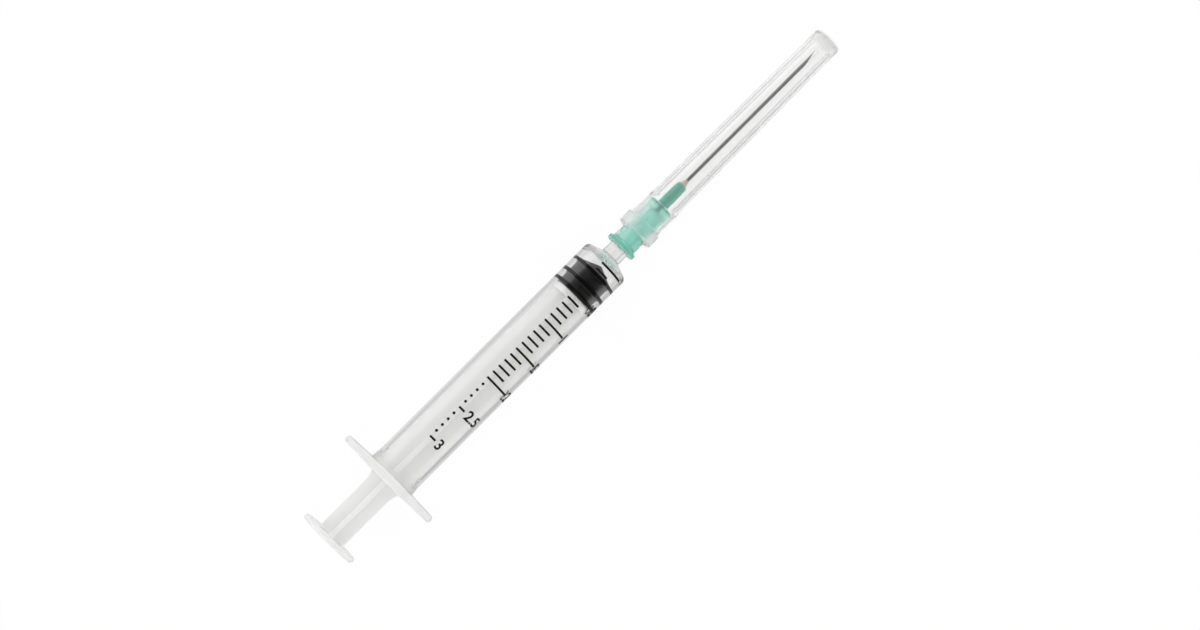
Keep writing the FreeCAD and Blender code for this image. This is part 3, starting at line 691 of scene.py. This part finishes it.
thick_green = moulded_finish(
    "thick_green_polypropylene",
    {"IOR": POLYPROPYLENE_IOR, "Transmission Weight": 0.42, "Subsurface Weight": 1.0,
     "Subsurface Radius": (0.6, 1.0, 0.9), "Subsurface Scale": 0.5 * MM},
    ripple_size=420, grain_size=4600, gloss=0.15, gloss_spread=0.1, depth=0.006,
    tints=[(0.25, 0.62, 0.52, 1), (0.29, 0.66, 0.56, 1)])
by_place(thick_green, "Base Color", hub_rear, 5, 10, far=(0.14, 0.56, 0.44, 1))


def on_collar_or_nose(point):
    along, out = along_and_out(hub_rear, point)
    return (along < 1.15 and out > 2.7) or (along > 10.2 and out < 1.6)


wear_where(hub, thick_green, on_collar_or_nose)
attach(hub, "needle_body")
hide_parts("needle_hub")

# Needle: a hollow tube of drawn stainless steel. Its end is ground to a long bevel, and then on both sides of
# the bevel to the lancet point, so the bore opens in a slanting oval and the two grinds meet in the tip.

needle_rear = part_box("needle_tube")[0].x
NEEDLE_RADIUS, NEEDLE_BORE_RADIUS, NEEDLE_LENGTH = 0.4, 0.255, 46.8
BEVEL_LENGTH, LANCET_LENGTH = 4.1, 1.7
LANCET_TURN = math.radians(32)
needle = turned("steel_needle", needle_rear, [
    (0, NEEDLE_BORE_RADIUS), (0, NEEDLE_RADIUS, 0.05), (NEEDLE_LENGTH, NEEDLE_RADIUS),
    (NEEDLE_LENGTH, NEEDLE_BORE_RADIUS), (0, NEEDLE_BORE_RADIUS),
], steps=64)


def grind(piece, length, turn):
    """Takes off what lies below a slope that rises to the point over the grind's length."""
    point_height = NEEDLE_RADIUS * math.cos(turn)
    rise = (point_height + NEEDLE_RADIUS) / length
    below, past = 2 * NEEDLE_RADIUS, NEEDLE_LENGTH + 2 * NEEDLE_RADIUS
    corners = [(NEEDLE_LENGTH - (point_height + below) / rise, -below), (past, -below),
               (past, point_height + 2 * NEEDLE_RADIUS * rise)]
    wheel = drawn("grinding_wheel", [(needle_rear + along * MM, across * MM, AXIS.z - 4 * NEEDLE_RADIUS * MM)
                                     for along, across in corners + corners[:1]])
    raise_outline(8 * NEEDLE_RADIUS)
    bpy.ops.transform.rotate(value=turn, orient_axis="X", center_override=AXIS)
    combined(piece, wheel, "DIFFERENCE")


for length, turn in ((BEVEL_LENGTH, 0), (LANCET_LENGTH, LANCET_TURN), (LANCET_LENGTH, -LANCET_TURN)):
    grind(needle, length, turn)
finished(needle)
steel = moulded_finish(
    "drawn_steel", {"Metallic": 1.0},
    ripple_size=2600, grain_size=9000, gloss=0.03, gloss_spread=0.08, depth=0.0006,
    tints=[(0.3, 0.3, 0.31, 1), (0.42, 0.42, 0.43, 1)])
wear(needle, steel)
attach(needle, "needle_body")
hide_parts("needle_tube")

# Adhesive: a cured drop, pale and glassy, that fills the well in the hub's nose and creeps up the tube in a
# hollow-sided cone. Nothing else holds the needle in its hub.

BEAD_START = 0.02
adhesive_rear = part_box("adhesive")[0].x - BEAD_START * MM
TUBE_TOUCH = 0.41
bead = turned("cured_adhesive_bead", adhesive_rear, [
    (BEAD_START, TUBE_TOUCH), (1.2, 0.78), (1.22, 0.9, 0.05), (1.36, 0.86, 0.2), (1.6, 0.72, 0.5),
    (1.9, 0.6, 0.8), (2.25, 0.51), (2.6, 0.44), (2.6, TUBE_TOUCH), (BEAD_START, TUBE_TOUCH),
], steps=96)
finished(bead)
adhesive = moulded_finish(
    "cured_adhesive", {"IOR": 1.52, "Transmission Weight": 0.6},
    ripple_size=1500, grain_size=9000, gloss=0.12, gloss_spread=0.1, depth=0.006,
    tints=[(0.8, 0.74, 0.66, 1), (0.9, 0.86, 0.8, 1)])
wear(bead, adhesive)
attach(bead, "needle_body")
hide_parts("adhesive")

# Needle sheath: a tapered cap of clear polypropylene. Its thick collar grips the hub, its bore narrows evenly
# to the end, and four low ribs inside stiffen it. The end wall is thick, and hazy round its moulding gate.

sheath_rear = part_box("needle_sheath")[0].x
GRIP_RADIUS = 2.83
SHEATH_COLLAR_RADIUS = 4.075
SHEATH_LENGTH, END_WALL_START = 56.7, 55.2
RIB_HALF_TURN = math.radians(5.7)
RIB_START, RIB_END = 9.6, 38.6
RIB_INWARDS = 0.875
sheath = turned("clear_needle_sheath", sheath_rear, [
    (SHEATH_LENGTH, 0), (SHEATH_LENGTH, 3.075, 0.6), (10.2, 3.425, 1.5), (9.1, 3.55, 1.5), (2.9, 3.625, 0.15),
    (2.9, SHEATH_COLLAR_RADIUS, 0.3), (0, SHEATH_COLLAR_RADIUS, 0.3), (0, GRIP_RADIUS, 0.15),
    (7.9, GRIP_RADIUS, 1.2), (9.2, 2.5, 1.2), (END_WALL_START, 2.05, 0.6), (END_WALL_START, 0),
], steps=160)


def on_inner_rib(point):
    along, out = along_and_out(sheath_rear, point)
    turn = turn_of(point) % (math.pi / 2)
    return RIB_START < along < RIB_END and out < 2.6 and min(turn, math.pi / 2 - turn) < RIB_HALF_TURN


pick(sheath, "FACE", on_inner_rib)
bpy.ops.mesh.extrude_region_move(TRANSFORM_OT_translate={"value": (0, 0, 0)})
bpy.ops.transform.resize(value=(1, RIB_INWARDS, RIB_INWARDS), center_override=AXIS)
bpy.ops.mesh.select_all(action="SELECT")
bpy.ops.mesh.normals_make_consistent(inside=False)
finished(sheath)
sheath_plastic = moulded_finish(
    "clear_sheath_polypropylene", {"IOR": POLYPROPYLENE_IOR, "Transmission Weight": 0.945},
    ripple_size=240, grain_size=4200, gloss=0.01, gloss_spread=0.03, depth=0.0002,
    tints=[(0.975, 0.975, 0.97, 1), (0.995, 0.995, 0.99, 1)])
by_place(sheath_plastic, "Roughness", sheath_rear, 2.6, 4.6, near=0.3)
by_place(sheath_plastic, "Roughness", sheath_rear, 52, 55.5, far=0.4)
wear(sheath, sheath_plastic)

frosted = moulded_finish(
    "gate_end_haze", {"IOR": POLYPROPYLENE_IOR, "Transmission Weight": 0.4},
    ripple_size=900, grain_size=4200, gloss=0.3, gloss_spread=0.3, depth=0.02,
    tints=[(0.9, 0.9, 0.895, 1), (0.99, 0.99, 0.985, 1)])
wear_where(sheath, frosted, lambda point: along_and_out(sheath_rear, point)[0] > END_WALL_START - 0.4)
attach(sheath, "sheath_body")
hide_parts("needle_sheath")

# Studio: a pale board, tilted so that the flange's flat and the shoulder rest on it, a wide soft sky, and the
# camera. The board is white to the camera and keeps the soft shadow. Clear plastic shows it with two soft
# grey bands of painted shadow along the syringe, and the sky's dark top gives the gloss its shine.

BOARD_RADIUS = 2.5
SHOULDER_LIFT, SHOULDER_FROM_FLANGE = 1.45, 59.9
BOARD_RISE = SHOULDER_LIFT / SHOULDER_FROM_FLANGE
BOARD_TOUCH = -53.9 * MM
BOARD_GAP = 0.005 * MM
BOARD_WHITE_SHARE = 0.95
# Painted shadow: the syringe's own shadow beside it, painted as tones across the axis into what the board
# shows to glossy and transmission rays.
SHADE_REACH = 20
SHADE_PROFILE = (
    (-20, 0.9), (-17, 0.8), (-13, 0.54), (-10.5, 0.5), (-8.3, 0.65), (-6.3, 0.9), (-4, 1.0),
    (6.3, 1.0), (8.3, 0.78), (10.5, 0.64), (13, 0.7), (17, 0.9), (20, 0.98),
)


def ramped(tree, number, stops):
    """A grey tone from a ramp of stops, which are places from 0 to 1 and tones."""
    node = tree.nodes.new("ShaderNodeValToRGB")
    feed(tree, node.inputs["Fac"], number)
    ramp = node.color_ramp.elements
    first, *between, last = stops
    for index, (place, tone) in enumerate([first, last] + between):
        stop = ramp[index] if index < 2 else ramp.new(place)
        stop.position = place
        stop.color = (tone, tone, tone, 1)
    return node.outputs["Color"]


start_afresh()
bpy.ops.mesh.primitive_circle_add(vertices=96, radius=BOARD_RADIUS, fill_type="NGON", location=(0, 0, 0))
board = bpy.context.object
board.name = "studio_board"
bpy.ops.object.mode_set(mode="EDIT")
bpy.ops.mesh.select_all(action="SELECT")
for inset in (1.5, 0.7, 0.2):
    bpy.ops.mesh.inset(thickness=inset)
bpy.ops.object.mode_set(mode="OBJECT")
for vertex in board.data.vertices:
    vertex.co.z = (vertex.co.x - BOARD_TOUCH) * BOARD_RISE - BOARD_GAP

board_finish = bpy.data.materials.new("pale_board")
board_finish.use_nodes = True
board_finish.cycles.emission_sampling = "NONE"
tree = board_finish.node_tree
tree.nodes.clear()
place = tree.nodes.new("ShaderNodeTexCoord").outputs["Object"]
matt = tree.nodes.new("ShaderNodeBsdfDiffuse")
feed(tree, matt.inputs["Color"],
     mixed(tree, "RGBA", noise(tree, place, 900, 2), (0.93, 0.93, 0.93, 1), (0.97, 0.97, 0.97, 1)))

# The painted shadow bands narrow towards the needle, where the syringe is thinner and lower.
parts = split_place(tree, place)
narrowing = ranged(tree, parts["X"], -60 * MM, 60 * MM, low=0.8, high=1.8)
across = worked_out(tree, "MULTIPLY", parts["Y"], narrowing)
painted_shadow_bands = ramped(tree, ranged(tree, across, -SHADE_REACH * MM, SHADE_REACH * MM),
               [(0.5 + reach / SHADE_REACH / 2, tone) for reach, tone in SHADE_PROFILE])
# Painted shadow: the board is painted darker under the barrel, where the syringe's own shadow falls.
painted_shadow_under_barrel = ranged(tree, parts["X"], 8 * MM, 18 * MM, low=0.82, high=1.0, easing="SMOOTHSTEP")
shaded = worked_out(tree, "MULTIPLY", painted_shadow_bands, painted_shadow_under_barrel)

rays = tree.nodes.new("ShaderNodeLightPath").outputs
through_piece = worked_out(tree, "MAXIMUM", rays["Is Glossy Ray"], rays["Is Transmission Ray"])
undiffused = worked_out(tree, "SUBTRACT", through_piece, rays["Diffuse Depth"], clamp=True)
white = tree.nodes.new("ShaderNodeEmission")
feed(tree, white.inputs["Strength"], mixed(tree, "FLOAT", undiffused, 1.0, shaded))
seen = worked_out(tree, "MAXIMUM", rays["Is Camera Ray"], through_piece)
blend = tree.nodes.new("ShaderNodeMixShader")
feed(tree, blend.inputs[0], worked_out(tree, "MULTIPLY", seen, BOARD_WHITE_SHARE))
feed(tree, blend.inputs[1], matt.outputs[0])
feed(tree, blend.inputs[2], white.outputs[0])
output = tree.nodes.new("ShaderNodeOutputMaterial")
feed(tree, output.inputs["Surface"], blend.outputs[0])
wear(board, board_finish)

CEILING_DIRECTION = (0, -0.22, 0.975)
CEILING_TONES = ((0.0, 1.0), (0.38, 1.0), (0.5, 0.2), (0.8, 0.08), (1.0, 0.06))
sky = bpy.data.worlds.new("soft_studio")
bpy.context.scene.world = sky
sky.use_nodes = True
sky.cycles.sampling_method = "NONE"
tree = sky.node_tree
tree.nodes.clear()
direction = tree.nodes.new("ShaderNodeTexCoord").outputs["Generated"]
side = ranged(tree, split_place(tree, direction)["Y"], -1.0, 1.0, low=0.96, high=1.12)
upward = tree.nodes.new("ShaderNodeVectorMath")
upward.operation = "DOT_PRODUCT"
upward.inputs[1].default_value = CEILING_DIRECTION
feed(tree, upward.inputs[0], direction)
reflected = ramped(tree, upward.outputs["Value"], CEILING_TONES)
rays = tree.nodes.new("ShaderNodeLightPath").outputs
light = worked_out(tree, "MULTIPLY", mixed(tree, "FLOAT", rays["Diffuse Depth"], reflected, 1.0), side)
glow = tree.nodes.new("ShaderNodeBackground")
glow.inputs["Color"].default_value = (1, 1, 1, 1)
feed(tree, glow.inputs["Strength"], mixed(tree, "FLOAT", rays["Is Camera Ray"], light, 1.0))
output = tree.nodes.new("ShaderNodeOutputWorld")
feed(tree, output.inputs["Surface"], glow.outputs[0])

CAMERA_PLACE = Vector((-47.76, 0, 421.8)) * MM
CAMERA_AIM = Vector((-1.72, -6.7, 6.8)) * MM
CAMERA_ROLL = math.radians(45.06)
lens = bpy.data.cameras.new("camera")
lens.lens = 62.44
lens.sensor_width = 36
lens.clip_start = 0.01
lens.clip_end = 20
camera = bpy.data.objects.new("camera", lens)
bpy.context.scene.collection.objects.link(camera)
bpy.context.scene.camera = camera
back = (CAMERA_PLACE - CAMERA_AIM).normalized()
level_right = (Vector((1, 0, 0)) - back * back.x).normalized()
level_up = back.cross(level_right)
right = level_right * math.cos(CAMERA_ROLL) - level_up * math.sin(CAMERA_ROLL)
up = level_right * math.sin(CAMERA_ROLL) + level_up * math.cos(CAMERA_ROLL)
camera.rotation_mode = "QUATERNION"
camera.rotation_quaternion = Matrix((right, up, back)).transposed().to_quaternion()
camera.location = CAMERA_PLACE

scene = bpy.context.scene
scene.view_settings.view_transform = "Standard"
scene.cycles.max_bounces = 32
scene.cycles.transmission_bounces = 32
scene.cycles.glossy_bounces = 32
scene.cycles.diffuse_bounces = 12
scene.cycles.blur_glossy = 0
